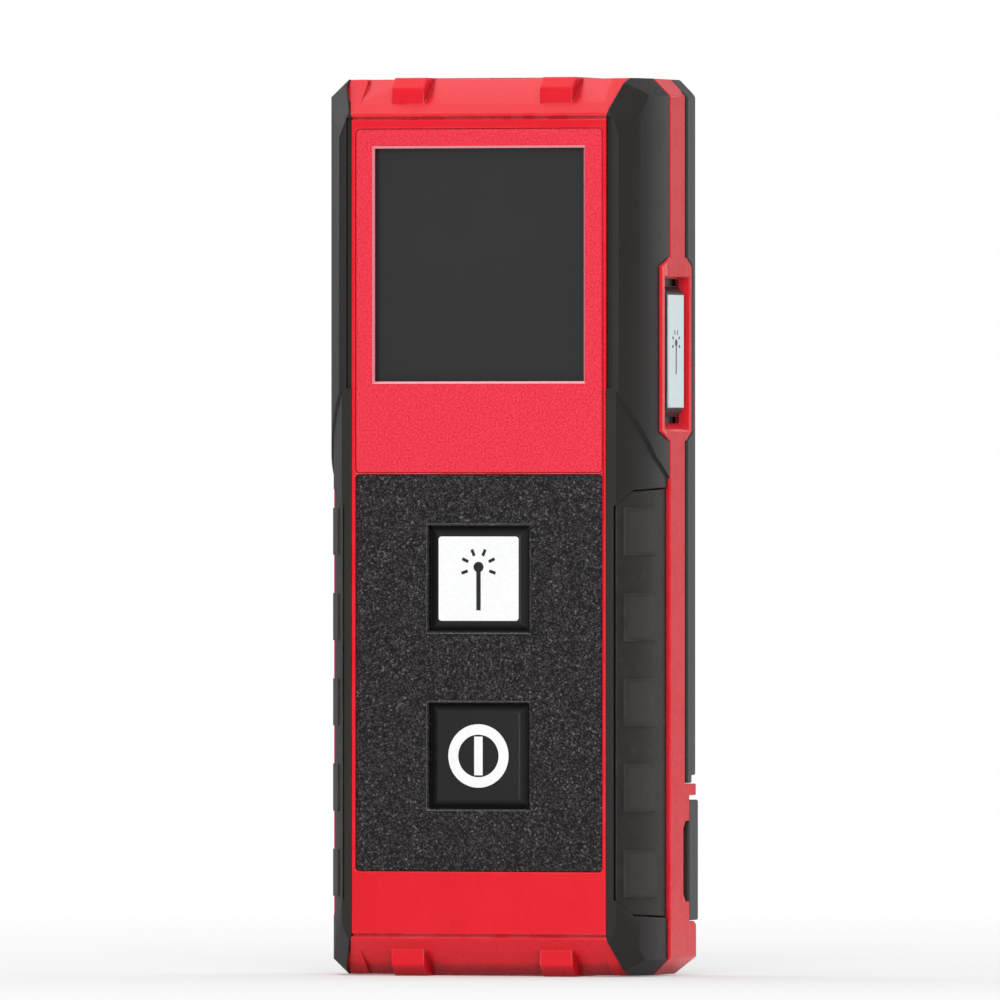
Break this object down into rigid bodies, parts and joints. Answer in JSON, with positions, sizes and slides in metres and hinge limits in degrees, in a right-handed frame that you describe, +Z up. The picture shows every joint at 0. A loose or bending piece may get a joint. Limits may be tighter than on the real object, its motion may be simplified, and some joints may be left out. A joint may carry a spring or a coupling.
{
  "type": "laser distance meter",
  "caption": "Pocket laser distance meter: red moulded case with black side grips, display, front and side measuring buttons, rear battery door and a folding end piece.",
  "frame": {"origin": "middle of the bounding box in X and Y, at the level the meter stands on", "axes": "+Z up along the meter's length towards the optics, the display faces -Y, +X is the side with the side button"},
  "size_m": [0.046, 0.0216, 0.1162],
  "materials": {
    "red_plastic": "moulded, satin gloss",
    "red_textured_plastic": "fine sandblast texture",
    "grip_rubber": "soft satin",
    "pad_rubber": "soft matt",
    "keypad_plastic": "coarse sparkling grain",
    "cover_plastic": "fine spark texture",
    "key_plastic": "satin",
    "white_print": "smooth",
    "dark_print": "smooth",
    "silver_plate": "satin",
    "window_acrylic": "clear, dark tint",
    "optics_acrylic": "clear, red tint",
    "lens_glass": "polished",
    "lcd_cell": "polished",
    "light_guide": "milky",
    "silicone": "soft",
    "seal_rubber": "soft matt",
    "black_plastic": "fine texture",
    "circuit_board": "solder mask",
    "chip_epoxy": "epoxy",
    "flex_film": "film",
    "chassis_alloy": "black anodised",
    "laser_brass": "turned",
    "cell_wrap": "shrink sleeve",
    "spring_steel": "nickel plated",
    "screw_steel": "zinc plated",
    "label_film": "satin film"
  },
  "bodies": {
    "meter_body": {"main_housing": "red_plastic", "rear_cover": "cover_plastic", "case_seal": "seal_rubber", "left_grip": "grip_rubber", "right_grip": "grip_rubber", "left_grip_pad": "pad_rubber", "right_grip_pad": "pad_rubber", "bezel_panel": "red_textured_plastic", "keypad_panel": "keypad_plastic", "display_window": "window_acrylic", "window_gasket": "seal_rubber", "lcd_glass": "lcd_cell", "lcd_backlight": "light_guide", "lcd_holder": "light_guide", "zebra_connectors": "silicone", "main_board": "circuit_board", "front_switches": "chip_epoxy", "processor_chips": "chip_epoxy", "buzzer": "black_plastic", "side_board": "circuit_board", "side_switch": "chip_epoxy", "ribbon_cable": "flex_film", "optics_chassis": "chassis_alloy", "laser_diode": "laser_brass", "collimator_lens": "lens_glass", "receiver_lens": "lens_glass", "receiver_sensor": "circuit_board", "optics_bezel": "black_plastic", "optics_window": "optics_acrylic", "window_seal": "seal_rubber", "battery_tray": "black_plastic", "left_battery": "cell_wrap", "right_battery": "cell_wrap", "spring_contacts": "spring_steel", "plate_contacts": "spring_steel", "bridge_contact": "spring_steel", "end_piece_pin": "screw_steel", "end_piece_detent": "spring_steel", "case_screws": "screw_steel", "board_screws": "screw_steel", "optics_screws": "screw_steel", "rating_label": "label_film"},
    "measure_key": {"measure_button": "key_plastic", "measure_plate": "white_print", "measure_icon": "dark_print", "measure_switch_stem": "black_plastic"},
    "power_key": {"power_button": "key_plastic", "power_icon": "white_print", "power_switch_stem": "black_plastic"},
    "side_key": {"side_button": "key_plastic", "side_button_plate": "silver_plate", "side_button_icon": "dark_print", "side_switch_stem": "black_plastic"},
    "battery_cover": {"battery_door": "cover_plastic", "door_seal": "seal_rubber"},
    "folding_end": {"end_piece": "cover_plastic"}
  },
  "joints": [
    {"name": "measure_press", "type": "slide", "parent": "meter_body", "child": "measure_key", "axis": [0, 1, 0], "range_m": [0, 0.0006], "stiffness_N_per_m": 1500},
    {"name": "power_press", "type": "slide", "parent": "meter_body", "child": "power_key", "axis": [0, 1, 0], "range_m": [0, 0.0006], "stiffness_N_per_m": 1500},
    {"name": "side_press", "type": "slide", "parent": "meter_body", "child": "side_key", "axis": [-1, 0, 0], "range_m": [0, 0.0006], "stiffness_N_per_m": 1500},
    {"name": "battery_cover_lift", "type": "slide", "parent": "meter_body", "child": "battery_cover", "axis": [0, 1, 0], "range_m": [0, 0.025]},
    {"name": "end_piece_hinge", "type": "hinge", "parent": "meter_body", "child": "folding_end", "pos_m": [0, 0.00785, 0.0032], "axis": [-1, 0, 0], "range_deg": [0, 90]}
  ]
}
